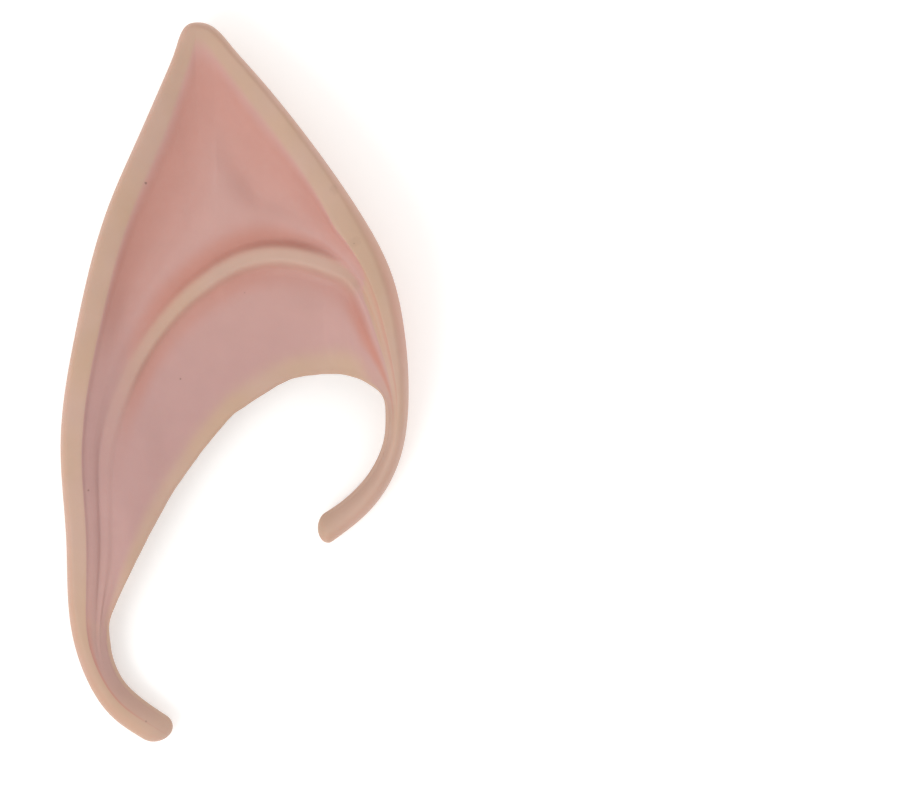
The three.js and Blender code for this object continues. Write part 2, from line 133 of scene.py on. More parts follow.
# Sprayed colour and painted shade along the outer edge, each from 0 to 1. Blush is the pink in the
# hollows, joined how far it starts at the ridge line instead of at the rim's band, ridge and lip how far
# the ridge and the cutout's band stay unsprayed. The rest is deeper pink: painted shade on the outer
# wall (side) and below the ridge (under), and painted shade with spray that gathered there on the rim's
# inner slope (slope) and at the foot of the step above the ridge (step).
PAINT_COLUMNS = ("along", "blush", "joined", "ridge", "lip", "side", "slope", "step", "under")
PAINT_ROWS = (
    (0.00, 0.00, 1.0, 0.00, 0.0, 0.15, 0.00, 0.00, 0.00),
    (0.10, 0.05, 1.0, 0.00, 0.0, 0.20, 0.10, 0.00, 0.10),
    (0.14, 0.50, 1.0, 0.00, 0.0, 0.30, 0.40, 0.00, 0.60),
    (0.17, 0.95, 1.0, 0.00, 0.2, 0.50, 0.50, 0.20, 0.80),
    (0.20, 1.00, 0.9, 0.00, 0.8, 0.50, 0.40, 0.20, 0.60),
    (0.22, 1.00, 0.1, 0.65, 1.0, 0.45, 0.30, 0.10, 0.30),
    (0.26, 1.00, 0.0, 0.85, 1.0, 0.35, 0.40, 0.30, 0.20),
    (0.33, 1.00, 0.0, 0.90, 1.0, 0.30, 0.40, 0.60, 0.30),
    (0.39, 1.00, 0.0, 0.92, 1.0, 0.25, 0.45, 0.70, 0.50),
    (0.44, 1.00, 0.0, 0.92, 1.0, 0.20, 0.50, 0.70, 0.55),
    (0.50, 1.00, 0.0, 0.88, 1.0, 0.20, 0.50, 0.70, 0.50),
    (0.56, 1.00, 0.0, 0.75, 1.0, 0.20, 0.50, 0.60, 0.50),
    (0.62, 1.00, 0.0, 0.55, 1.0, 0.20, 0.42, 0.35, 0.55),
    (0.68, 1.00, 0.0, 0.30, 1.0, 0.20, 0.12, 0.00, 0.35),
    (0.74, 1.00, 0.0, 0.10, 1.0, 0.20, 0.00, 0.00, 0.05),
    (0.82, 0.95, 0.0, 0.00, 0.8, 0.20, 0.00, 0.00, 0.00),
    (0.88, 0.85, 0.0, 0.00, 0.4, 0.20, 0.10, 0.00, 0.00),
    (0.92, 0.80, 0.0, 0.00, 0.0, 0.20, 0.60, 0.00, 0.00),
    (0.96, 0.55, 0.0, 0.00, 0.0, 0.20, 0.65, 0.00, 0.00),
    (1.00, 0.10, 0.0, 0.00, 0.0, 0.10, 0.15, 0.00, 0.00),
)

# Low folds in the hollow face: a soft bar from one plan point to another, with its width and height
FOLD_COLUMNS = ("from_x", "from_y", "to_x", "to_y", "width", "height")
FOLD_ROWS = (
    (-1.5 * MM, 15.2 * MM, 4.5 * MM, 17.2 * MM, 1.6 * MM, 0.22 * MM),
    (5.0 * MM, 14.2 * MM, 9.0 * MM, 15.4 * MM, 2.2 * MM, 0.14 * MM),
)

# Dark specks caught in the latex, and faint scuffs on the front rim: plan place, radius and strength
MARK_COLUMNS = ("x", "y", "radius", "strength")
SPECK_ROWS = (
    (-15.1 * MM, 34.4 * MM, 0.28 * MM, 0.70),
    (-9.2 * MM, 0.6 * MM, 0.24 * MM, 0.60),
    (-25.0 * MM, -18.6 * MM, 0.22 * MM, 0.60),
    (-15.4 * MM, -58.8 * MM, 0.22 * MM, 0.45),
    (1.9 * MM, 15.5 * MM, 0.18 * MM, 0.35),
    (20.9 * MM, 23.8 * MM, 0.20 * MM, 0.40),
)
SCUFF_ROWS = (
    (17.4 * MM, 33.3 * MM, 1.0 * MM, 0.10),
    (20.9 * MM, 23.8 * MM, 1.2 * MM, 0.08),
    (21.4 * MM, 16.9 * MM, 1.0 * MM, 0.07),
)


def linear(hex_colour):
    """Linear red, green and blue of an sRGB colour written as six hex digits"""
    shares = (int(hex_colour[i:i + 2], 16) / 255 for i in (0, 2, 4))
    return tuple(v / 12.92 if v <= 0.04045 else ((v + 0.055) / 1.055) ** 2.4 for v in shares)


def length_property(name, description, default):
    return FloatProperty(
        name=name, description=description, default=default, min=0, unit="LENGTH", precision=5
    )


def share_property(name, description, default):
    return FloatProperty(
        name=name, description=description, default=default, min=0, max=1, subtype="FACTOR"
    )


def colour_property(name, description, hex_colour):
    return FloatVectorProperty(
        name=name, description=description, default=linear(hex_colour), min=0, max=1, size=3,
        subtype="COLOR",
    )


class EarTipSizes(PropertyGroup):
    width: length_property("Width", "Across the ear, front to rear", shell_size.x)
    length: length_property("Length", "From the rear hook's end to the tip", 125 * MM)
    depth: length_property("Depth", "From the back to the highest place of the rim", shell_size.z)
    wall: length_property("Wall", "Thickness of the latex", 1.4 * MM)
    rim_slope: length_property("Rim slope", "Width of the slope from the rim to the recess", 9 * MM)
    ridge_step: length_property("Ridge step", "Width of the step up to the ridge", 2.8 * MM)
    ridge_slope: length_property("Ridge slope", "Width of the slope below the ridge", 2.8 * MM)
    ridge_crown: length_property("Ridge crown", "Width of the ridge's rounded top", 1.9 * MM)
    lip: length_property("Lip", "Width of the band that turns down to the cutout", 3.5 * MM)
    swell: length_property("Swell", "How far the floors stand up in their middle", 0.5 * MM)
    swell_length: length_property("Swell length", "Length of floor with its full swell", 18 * MM)
    back_corner: length_property("Back corner", "Width of the round at the back's edge", 8 * MM)
    back_set_in: length_property("Back set-in", "How far the back's edge stays behind", 1.5 * MM)
    hook_plug: length_property("Hook plug", "Length over which a hook's channel closes", 9 * MM)
    mouth_dip: length_property("Mouth dip", "Hollow left at a hook's closed mouth", 0.15 * MM)
    seam: length_property("Mould seam", "Height of the line left by the mould's two halves", 0.07 * MM)
    waviness: length_property("Waviness", "How far the cured skin swings from true", 0.12 * MM)
    trim: length_property("Trim", "How far the cut edge wanders", 0.05 * MM)
    sections: IntProperty(
        name="Sections", description="Sections built for each row of the plan table",
        default=12, min=2, max=24,
    )


class EarTipFinish(PropertyGroup):
    beige: colour_property("Beige", "Unsprayed latex", "bd9b83")
    rosy_beige: colour_property("Rosy beige", "Unsprayed latex where a little pink drifted", "bf9d8b")
    pink: colour_property("Pink", "Sprayed pink in the middle of the hollows", "c3978e")
    cool_pink: colour_property("Cool pink", "Sprayed pink in the lower hollow", "b88f89")
    # Deeper pink that stands for painted shade, and for spray that gathered in the hollows
    shade_and_deep_pink: colour_property("Deep pink", "Pink where the spray gathered", "bc7b69")
    inside: colour_property("Inside", "Talc-dusted latex in the pocket", "cfb3a2")
    fleck: colour_property("Fleck", "Dust caught in the latex", "6f5448")
    roughness: share_property("Roughness", "Roughness of the cured skin", 0.52)
    glow: share_property("Glow", "How much light passes through the skin", 0.12)


class EarTipStage(PropertyGroup):
    camera_distance: length_property("Camera distance", "From the ear's middle height", 1000 * MM)
    floor: colour_property("Floor", "Opal acrylic of the light table", "f4f3f1")
    floor_glow: FloatProperty(
        name="Floor glow", description="Light that comes up through the table", default=0.3, min=0
    )
    sky: FloatProperty(name="Sky", description="Even light from all sides", default=0.88, min=0)
    key: FloatProperty(
        name="Key", description="Power of the large soft light", default=2.9, min=0, unit="POWER"
    )


def mix(a, b, t):
    return a + (b - a) * t


def easy(t):
    """Slow at both ends, from 0 to 1, and level outside"""
    return (1 - np.cos(np.pi * np.clip(t, 0, 1))) / 2


def rise(r, start, end):
    """Soft step from 0 at start to 1 at end, for distances along a section"""
    return easy((r - start) / (end - start))


def smooth_curve(places, values):
    """Smooth curve through the values at the given places, which never swings past them"""
    places = np.asarray(places, float)
    values = np.asarray(values, float)
    steps = np.diff(places)
    rises = np.diff(values) / steps
    slopes = np.zeros_like(values)
    slopes[0], slopes[-1] = rises[0], rises[-1]
    for i in range(1, len(values) - 1):
        if rises[i - 1] * rises[i] > 0:
            before = 2 * steps[i] + steps[i - 1]
            after = steps[i] + 2 * steps[i - 1]
            slopes[i] = (before + after) / (before / rises[i - 1] + after / rises[i])

    def curve(place):
        i = np.clip(np.searchsorted(places, place) - 1, 0, len(steps) - 1)
        t = (place - places[i]) / steps[i]
        early = (1 + 2 * t) * (1 - t) ** 2 * values[i] + t * (1 - t) ** 2 * steps[i] * slopes[i]
        late = t * t * (3 - 2 * t) * values[i + 1] + t * t * (t - 1) * steps[i] * slopes[i + 1]
        return early + late

    return curve


def round_curve(places, values):
    """Curve through the values at the given places that bends evenly all along"""
    places = np.asarray(places, float)
    values = np.asarray(values, float)
    steps = np.diff(places)
    rises = np.diff(values) / steps
    system = np.eye(len(values))
    wanted = np.zeros(len(values))
    for i in range(1, len(values) - 1):
        system[i, i - 1:i + 2] = steps[i - 1], 2 * (steps[i - 1] + steps[i]), steps[i]
        wanted[i] = 6 * (rises[i] - rises[i - 1])
    bends = np.linalg.solve(system, wanted)

    def curve(place):
        i = np.clip(np.searchsorted(places, place) - 1, 0, len(steps) - 1)
        step = steps[i]
        past = place - places[i]
        left = step - past
        bent = (bends[i] * left ** 3 + bends[i + 1] * past ** 3) / (6 * step)
        start = values[i] / step - bends[i] * step / 6
        end = values[i + 1] / step - bends[i + 1] * step / 6
        return bent + start * left + end * past

    return curve


def table_curves(make_curve, columns, rows, places):
    return {
        column: make_curve(places, [row[i] for row in rows])
        for i, column in enumerate(columns)
    }


# Roundness of the rim's shoulder and the back's corner: 1 is a plain ellipse, less is squarer
SQUARENESS = 0.85

# Shares of the fall from the rim's crest to the recess's floor that are done where its flat band
# ends, and where the steep stretch under it ends, and that stretch's share of the slope's width
BAND_FALL = 0.07
STEEP_FALL = 0.56
STEEP_SHARE = 0.36

# Side's widest line, as a share of the height from the back to the rim
WIDEST_HEIGHT = 0.45

# Share of the fall from the hollow face to the cutout's edge that is done where the lip starts
LIP_FALL = 0.35

# How far the ridge's rounded top falls at its two edges, as a share of the top's width
CROWN_FALL = 0.1

# Inner faces: how much thicker the wall is under the rim's crest, where the hollow under the rim is
# highest between the side and the band's end, how many walls the recess's inner face stays behind,
# where its steep stretch ends, where it reaches the hollow face between the ridge and that face, and
# where the back's flat starts at the earliest between the side and the cutout
CREST_THICKNESS = 1.25
CREST_REACH = 0.35
RECESS_LAG = 0.8
INSIDE_STEEP = 0.5
INSIDE_FACE = 0.7
INSIDE_FLAT = 0.3

# Largest shares of the room between two lines of the section that a band may take where it narrows
MOST = SimpleNamespace(
    crest=0.75, slope=0.6, band=0.6, step=0.25, ridge_slope=0.3, lip=0.4, set_in=0.12,
    back_corner=0.8,
)

# How finely the distance from the outer edge is measured, along the edge and along a section
EDGE_PIECES = 600
INSET_STEPS = 60

# How far each hook's rounded end stands out, as a share of half its width, and the rings it has
FRONT_END_ROUND = 0.8
REAR_END_ROUND = 1
CAP_SECTIONS = 10

# Reaches of the spray and the painted shade in millimetres: how far the rim's pink starts before and
# after its line, how far the ridge's bare top reaches past its slope, where the lip's bare band starts
# and is full, how far the deeper pink of painted shade and gathered spray fades out into the recess,
# and how wide it lies above and below the ridge
SPRAY_AND_SHADE = SimpleNamespace(
    rim_before=0.2 * MM, rim_after=1.1 * MM, ridge_past=0.6 * MM, lip_start=4.6 * MM,
    lip_full=0.8 * MM, slope_fade=7 * MM, step_width=4.5 * MM, step_past=0.2 * MM,
    under_width=4.5 * MM,
)

# Half the width of the line that the mould's seam leaves
SEAM_HALF_WIDTH = 0.35 * MM

# The stage in metres: half the table's width, the lamp's place and width, and the camera's sensor
# width in millimetres with the height that it is set to
TABLE_HALF = 3
LAMP_PLACE = (-0.50, -0.40, 0.70)
LAMP_WIDTH = 0.6
SENSOR_WIDTH = 36
MIDDLE_LEVEL = 8 * MM


class EarForm:
    """The ear's plan and heights as smooth curves along its outer edge"""

    def __init__(self, sizes):
        self.sizes = sizes
        scales = [sizes.width if column.endswith("x") else sizes.length for column in PLAN_COLUMNS]
        points = np.array(PLAN_ROWS) * scales
        outer = points[:, :2]
        lengths = np.hypot(*np.diff(outer, axis=0).T)
        self.places = np.concatenate([[0], np.cumsum(lengths)])
        self.edge_length = self.places[-1]
        self.plan = table_curves(round_curve, PLAN_COLUMNS, points, self.places)
        height_places = [row[0] for row in HEIGHT_ROWS]
        paint_places = [row[0] for row in PAINT_ROWS]
        self.heights = table_curves(smooth_curve, HEIGHT_COLUMNS, HEIGHT_ROWS, height_places)
        self.paint = table_curves(smooth_curve, PAINT_COLUMNS, PAINT_ROWS, paint_places)
        along_edge = np.linspace(0, self.edge_length, EDGE_PIECES + 1)
        self.edge_points = np.column_stack(
            [self.plan["outer_x"](along_edge), self.plan["outer_y"](along_edge)]
        )

    def path(self, place):
        """Plan points at distances in from the outer edge, on a bent line over the ridge to the cut"""
        outer, ridge, cut = (
            np.array([self.plan[name + "_x"](place), self.plan[name + "_y"](place)])
            for name in ("outer", "ridge", "cut")
        )
        first = np.hypot(*(ridge - outer))
        second = np.hypot(*(cut - ridge))
        length = first + second

        def at(r):
            r = np.asarray(r, float)[..., None]
            from_outer = (r - first) * (r - length) / (first * length)
            from_ridge = r * (length - r) / (first * second)
            from_cut = r * (r - first) / (length * second)
            return from_outer * outer + from_ridge * ridge + from_cut * cut

        return SimpleNamespace(at=at, first=first, length=length)

    def inset_of(self, path):
        """Distance in along a path at which it is a given distance away from the outer edge"""
        reaches = np.linspace(0, path.first, INSET_STEPS + 1)
        starts = self.edge_points[:-1]
        pieces = np.diff(self.edge_points, axis=0)
        towards = path.at(reaches)[:, None, :] - starts[None, :, :]
        t = (towards * pieces).sum(axis=2) / (pieces ** 2).sum(axis=1)
        nearest = towards - np.clip(t, 0, 1)[:, :, None] * pieces
        away = np.hypot(nearest[:, :, 0], nearest[:, :, 1]).min(axis=1)
        away[0] = 0
        away = np.maximum.accumulate(away)
        return lambda distance: float(np.interp(distance, away, reaches))

    def trim(self, place):
        """How far the hand-cut edge wanders at this place"""
        turn = 2 * math.pi * place
        long_wave = math.sin(turn / (23 * MM) + 0.7)
        short_wave = math.sin(turn / (9.1 * MM) + 2.1)
        return self.sizes.trim * (0.6 * long_wave + 0.4 * short_wave)

    def section(self, place):
        """All sizes of the section at one place along the outer edge"""
        sizes = self.sizes
        path = self.path(place)
        inset_at = self.inset_of(path)
        along = place / self.edge_length
        height = {name: self.heights[name](along) * sizes.depth for name in HEIGHT_COLUMNS[4:]}
        crest_inset = self.heights["crest"](along) * sizes.width
        band_inset = crest_inset + self.heights["band"](along) * sizes.width
        crest = min(inset_at(crest_inset), path.first * MOST.crest)
        room = path.first - crest
        from_end = min(place, self.edge_length - place)
        edge = path.length - sizes.wall / 2 + self.trim(place) * easy(from_end / sizes.hook_plug)
        spare = edge - path.first
        recess_start = min(inset_at(band_inset + sizes.rim_slope), crest + room * MOST.slope)
        band = min(inset_at(band_inset), mix(crest, recess_start, MOST.band))
        recess_end = path.first - min(sizes.ridge_step, room * MOST.step)
        face = path.first + min(sizes.ridge_slope, spare * MOST.ridge_slope)
        lip = edge - min(sizes.lip, spare * MOST.lip)
        return SimpleNamespace(
            path=path, along=along, side=inset_at(sizes.wall), crest=crest, band=band,
            steep=mix(band, recess_start, STEEP_SHARE), recess_start=recess_start,
            recess_end=recess_end, ridge=path.first, face=face, lip=lip, edge=edge,
            crown=min(sizes.ridge_crown, room * MOST.step, spare * MOST.ridge_slope),
            recess_swell=sizes.swell * min((recess_end - recess_start) / sizes.swell_length, 1),
            face_swell=sizes.swell * min((lip - face) / sizes.swell_length, 1),
            back_edge=edge - min(sizes.back_set_in, path.length * MOST.set_in),
            back_flat=min(inset_at(sizes.back_corner), path.first * MOST.back_corner),
            plain=self.heights["plain"](along),
            height=SimpleNamespace(**height),
            widest=mix(height["back"], height["rim"], WIDEST_HEIGHT),
            from_end=from_end, rim_slope=sizes.rim_slope,
        )


def quarter_round(start, end, count):
    """Full, slightly squared quarter round, from upright at its start to level at its end"""
    turn = np.arange(1, count + 1) / count * math.pi / 2
    across = 1 - np.maximum(np.cos(turn), 0) ** SQUARENESS
    up = np.sin(turn) ** SQUARENESS
    return np.column_stack([mix(start[0], end[0], across), mix(start[1], end[1], up)])


def half_round(centre, radius, count):
    """Points of a half round from its top to its bottom, without the two ends"""
    turn = math.pi / 2 - np.arange(1, count) / count * math.pi
    return np.column_stack([centre[0] + radius * np.cos(turn), centre[1] + radius * np.sin(turn)])


def raised(start, end, swell):
    """Knot halfway between two others, raised by the swell"""
    return mix(start[0], end[0], 0.5), mix(start[1], end[1], 0.5) + swell


def smooth_line(knots, counts):
    """Points on a smooth line from the second knot on, with as many in each stretch as counts says"""
    line = smooth_curve(*zip(*knots))
    stretches = [
        mix(knots[i + 1][0], knots[i + 2][0], np.arange(1, count + 1) / count)
        for i, count in enumerate(counts)
    ]
    r = np.concatenate(stretches)
    return np.column_stack([r, line(r)])


def front_face(s):
    """Front wall's outer face from the widest line to the cutout's edge"""
    h = s.height
    side = (0, s.widest)
    crest = (s.crest, h.rim)
    start = (s.recess_start, h.recess_top)
    foot = (s.recess_end, h.recess_foot)
    face = (s.face, h.face)
    lip = (s.lip, mix(h.face, h.lip, LIP_FALL))
    crown_edge = h.ridge - s.crown * CROWN_FALL
    knots = [
        side, crest, (s.band, mix(h.rim, h.recess_top, BAND_FALL)),
        (s.steep, mix(h.rim, h.recess_top, STEEP_FALL)), start,
        raised(start, foot, s.recess_swell), foot,
        (s.ridge - s.crown / 2, crown_edge), (s.ridge + s.crown / 2, crown_edge),
        face, raised(face, lip, s.face_swell), lip, (s.edge, h.lip),
    ]
    line = smooth_line(knots, [5, 6, 5, 6, 6, 5, 4, 5, 6, 6, 5])

    # Along the hooks the front is one plain curve from the rim to the lip
    t = (line[:, 0] - s.crest) / (s.edge - s.crest)
    line[:, 1] = mix(line[:, 1], mix(h.rim, h.lip, t ** 2), s.plain)
    return np.vstack([[side], quarter_round(side, crest, 12), line])


def front_inside(s, wall):
    """Front wall's inner face, from the cutout back to the widest line"""
    h = s.height
    side = (s.side, s.widest)
    edge = (s.edge, h.lip - wall)
    crest = (mix(side[0], s.band, CREST_REACH), h.rim - wall * CREST_THICKNESS)
    start_at = max(s.recess_start - RECESS_LAG * wall, mix(crest[0], s.recess_start, 0.5))
    start = (start_at, h.recess_top - wall)
    middle = (s.ridge, mix(min(h.recess_foot, h.face), h.recess_foot, 0.5) - wall)
    face = (mix(s.ridge, s.face, INSIDE_FACE), h.face - wall)
    steep = (mix(crest[0], start[0], INSIDE_STEEP), mix(crest[1], start[1], STEEP_FALL))
    knots = [
        side, crest, steep, start, raised(start, middle, s.recess_swell), middle, face,
        raised(face, edge, s.face_swell), edge,
    ]
    line = smooth_line(knots, [4, 3, 4, 4, 2, 4, 4])
    return np.vstack([[side], quarter_round(side, crest, 6), line])[::-1]


def back_inside(s, wall):
    """Back wall's inner face from the widest line to the cutout"""
    side = (s.side, s.widest)
    edge = (s.back_edge, wall)
    flat = (max(s.back_flat, mix(side[0], edge[0], INSIDE_FLAT)), s.height.back + wall)
    middle = (mix(flat[0], edge[0], 0.5), wall)
    line = smooth_line([side, flat, middle, edge], [5, 5])
    return np.vstack([quarter_round(side, flat, 6), line])


def back_face(s):
    """Back wall's outer face from its edge at the cutout to the widest line, which is left out"""
    side = (0, s.widest)
    flat = (s.back_flat, s.height.back)
    edge = (s.back_edge, 0)
    middle = (mix(flat[0], edge[0], 0.5), 0)
    line = smooth_line([side, flat, middle, edge], [6, 6])
    return np.vstack([quarter_round(side, flat, 12), line])[::-1]


def closed_channel(inside, closed, dip):
    """The pocket's line, moved to its mouth by the share closed, as it is at a hook's end"""
    first, last = inside[0], inside[-1]
    t = np.linspace(0, 1, len(inside))
    mouth = mix(first[0], last[0], t) - dip * np.sin(np.pi * t)
    level = mix(first[1], last[1], t)
    return np.column_stack([mix(inside[:, 0], mouth, closed), mix(inside[:, 1], level, closed)])


def front_paint(s, r, paint):
    """Blush, and deeper pink of painted shade and gathered spray, from 0 to 1, at distances in from the
    outer edge on the front face
    """
    stretch = (s.steep - s.band) / (STEEP_SHARE * s.rim_slope)
    start = mix(s.band, s.ridge, paint["joined"])
    inside_rim = rise(r, start - SPRAY_AND_SHADE.rim_before * stretch, start + SPRAY_AND_SHADE.rim_after * stretch)
    bare_ridge = rise(r, s.recess_end, s.ridge - 0.3 * s.crown)
    bare_ridge = bare_ridge * (1 - rise(r, s.ridge + 0.4 * s.crown, s.face + SPRAY_AND_SHADE.ridge_past))
    lip_start = s.edge - min(SPRAY_AND_SHADE.lip_start, 0.6 * (s.edge - s.face))
    bare_lip = rise(r, lip_start, s.edge - SPRAY_AND_SHADE.lip_full)
    blush = paint["blush"] * inside_rim
    blush = blush * (1 - paint["ridge"] * bare_ridge) * (1 - paint["lip"] * bare_lip)

    # Deeper pink on the rim's inner slope: painted shade, with spray that gathered there
    fade_end = min(s.recess_start + SPRAY_AND_SHADE.slope_fade * stretch, s.recess_end)
    slope = rise(r, s.band, mix(s.band, s.steep, 0.8)) * (1 - rise(r, s.steep, fade_end))
    # Deeper pink at the foot of the step above the ridge: painted shade, with spray that gathered there
    step_start = max(s.recess_end - SPRAY_AND_SHADE.step_width, mix(s.recess_start, s.recess_end, 0.4))
    step = rise(r, step_start, s.recess_end)
    step = step * (1 - rise(r, s.recess_end + SPRAY_AND_SHADE.step_past, s.ridge))
    # Deeper pink below the ridge: painted shade
    under_end = min(s.face + SPRAY_AND_SHADE.under_width, s.lip)
    under = rise(r, s.ridge + 0.5 * s.crown, s.face) * (1 - rise(r, s.face, under_end))
    shade_and_pooled_pink = paint["slope"] * slope + paint["step"] * step + paint["under"] * under
    # Painted shade in deeper pink on the outer wall
    shade_and_pooled_pink = shade_and_pooled_pink + painted_side_shade(s, r, paint)
    return blush, np.clip(shade_and_pooled_pink, 0, 1)


def painted_side_shade(s, r, paint):
    """Painted shade in deeper pink on the outer wall, the same above and below its widest line"""
    return paint["side"] * (1 - rise(r, 0.35 * s.crest, s.crest))


def fold_relief(x, y):
    """How far the low folds lift the hollow face at plan points"""
    lift = np.zeros_like(x)
    for row in FOLD_ROWS:
        fold = SimpleNamespace(**dict(zip(FOLD_COLUMNS, row)))
        run = np.array([fold.to_x - fold.from_x, fold.to_y - fold.from_y])
        t = ((x - fold.from_x) * run[0] + (y - fold.from_y) * run[1]) / run.dot(run)
        t = np.clip(t, 0, 1)
        away = np.hypot(x - fold.from_x - t * run[0], y - fold.from_y - t * run[1])
        lift += fold.height * np.exp(-((away / fold.width) ** 2))
    return lift


def cured_waves(x, y, z):
    """Slow swings of the cured skin between -1 and 1, from three crossing waves"""
    first = np.sin(2 * np.pi * (x / (31 * MM) + y / (47 * MM)) + 1.3)
    second = np.sin(2 * np.pi * (y / (23 * MM) - x / (58 * MM)) + 0.4)
    third = np.sin(2 * np.pi * (x / (17 * MM) + z / (29 * MM) - y / (39 * MM)) + 2.6)
    return (first + second + third) / 3


def build_section(form, place):
    """One closed loop of the shell: its points, and the paint, seam and inside of each"""
    sizes = form.sizes
    s = form.section(place)
    wall = sizes.wall
    front = front_face(s)
    closed = 1 - easy(s.from_end / sizes.hook_plug)
    pocket = np.vstack([front_inside(s, wall), back_inside(s, wall)])
    pocket = closed_channel(pocket, closed, sizes.mouth_dip)
    upper_edge = half_round((s.edge, s.height.lip - wall / 2), wall / 2, 7)
    lower_edge = half_round((s.back_edge, wall / 2), wall / 2, 7)
    back = back_face(s)
    parts = [front, upper_edge, pocket, lower_edge, back]
    loop = np.vstack(parts)

    paint = {name: curve(s.along) for name, curve in form.paint.items()}
    blush, shade_and_pooled_pink = front_paint(s, front[:, 0], paint)
    rest = len(loop) - len(front)
    inside = np.concatenate([np.full(len(part), float(part is pocket)) for part in parts])
    plan = s.path.at(loop[:, 0])
    x = plan[:, 0]
    y = plan[:, 1]
    z = loop[:, 1].copy()

    on_front = np.arange(len(loop)) < len(front)
    seam = np.exp(-(((z - s.widest) / SEAM_HALF_WIDTH) ** 2)) * (loop[:, 0] < s.crest)
    outward = plan[0] - s.path.at(wall)
    outward = outward / np.hypot(*outward)
    x = x + outward[0] * seam * sizes.seam
    y = y + outward[1] * seam * sizes.seam
    middle_x = x - sizes.width / 2
    middle_y = y - sizes.length / 2
    inside_rim = rise(loop[:, 0], s.crest, s.recess_start)
    swing = sizes.waviness * cured_waves(middle_x, middle_y, z) + fold_relief(middle_x, middle_y)
    z = z + on_front * inside_rim * (1 - s.plain) * swing
    return SimpleNamespace(
        points=np.column_stack([x, y, z]),
        blush=np.concatenate([blush, np.zeros(rest)]),
        # Deeper pink on the front, painted shade with some gathered spray, and painted shade on the
        # back's outer wall
        shade_and_pooled_pink=np.concatenate([shade_and_pooled_pink, np.zeros(rest - len(back)), painted_side_shade(s, back[:, 0], paint)]),
        inside=inside * (1 - closed),
        form=s,
    )


def rounded_end(form, place, outward, share):
    """Rings that round off a hook's end, each one smaller and further out, and the last point"""
    ring = build_section(form, place)
    s = ring.form
    middle = s.path.at(s.path.length / 2)
    centre = np.array([middle[0], middle[1], (s.height.rim + s.height.back) / 2])
    reach = share * s.path.length / 2
    nearby = form.path(place - outward * form.sizes.wall)
    step = middle - nearby.at(nearby.length / 2)
    ahead = np.append(step / np.hypot(*step), 0)
    turns = np.arange(1, CAP_SECTIONS + 1) / (CAP_SECTIONS + 1) * math.pi / 2
    rings = []
    for turn in turns:
        moved = centre + ahead * reach * math.sin(turn)
        points = (ring.points - centre) * math.cos(turn) + moved
        rings.append(SimpleNamespace(
            points=points, blush=ring.blush, shade_and_pooled_pink=ring.shade_and_pooled_pink, inside=ring.inside
        ))
    return rings, centre + ahead * reach


def shell_mesh(sizes):
    """The whole shell as one closed mesh, with its paint as attributes of its points"""
    form = EarForm(sizes)
    places = [
        mix(form.places[i], form.places[i + 1], k / sizes.sections)
        for i in range(len(form.places) - 1)
        for k in range(sizes.sections)
    ]
    places.append(form.edge_length)
    front_rings, front_point = rounded_end(form, 0, -1, FRONT_END_ROUND)
    rear_rings, rear_point = rounded_end(form, form.edge_length, 1, REAR_END_ROUND)
    rings = front_rings[::-1] + [build_section(form, place) for place in places] + rear_rings
    count = len(rings[0].points)
    points = np.vstack([ring.points for ring in rings] + [[front_point, rear_point]])
    middle = (points.min(axis=0) + points.max(axis=0)) / 2
    points[:, 0] += shell_centre.x - middle[0]
    points[:, 1] += shell_centre.y - middle[1]
    points[:, 2] = np.maximum(points[:, 2], 0)

    faces = []
    for i in range(len(rings) - 1):
        for k in range(count):
            a = i * count + k
            b = i * count + (k + 1) % count
            faces.append((a, a + count, b + count, b))
    last_ring = (len(rings) - 1) * count
    end_points = len(rings) * count
    for k in range(count):
        following = (k + 1) % count
        faces.append((end_points, k, following))
        faces.append((end_points + 1, last_ring + following, last_ring + k))

    mesh = bpy.data.meshes.new("latex_shell")
    mesh.from_pydata(points.tolist(), [], faces)
    for name in ("blush", "shade_and_pooled_pink", "inside"):
        values = np.concatenate([getattr(ring, name) for ring in rings] + [[0, 0]])
        attribute = mesh.attributes.new(name, "FLOAT", "POINT")
        attribute.data.foreach_set("value", values.astype(np.float32))
    mesh.polygons.foreach_set("use_smooth", [True] * len(mesh.polygons))
    mesh.update()
    return mesh


def add_node(tree, kind, settings=None, **links):
    """Adds a node, sets its properties and fills its inputs with values or other nodes' outputs"""
    node = tree.nodes.new(kind)
    for name, value in (settings or {}).items():
        setattr(node, name, value)
    for name, value in links.items():
        socket = node.inputs[int(name[1:])] if name[1:].isdigit() else node.inputs[name.replace("_", " ")]
        if isinstance(value, bpy.types.NodeSocket):
            tree.links.new(value, socket)
        else:
            socket.default_value = value
    return node


def per_size(size):
    """Scale of a pattern whose features are as wide as the given real size"""
    return 1 / size


def colour(vector):
    return (*vector, 1)


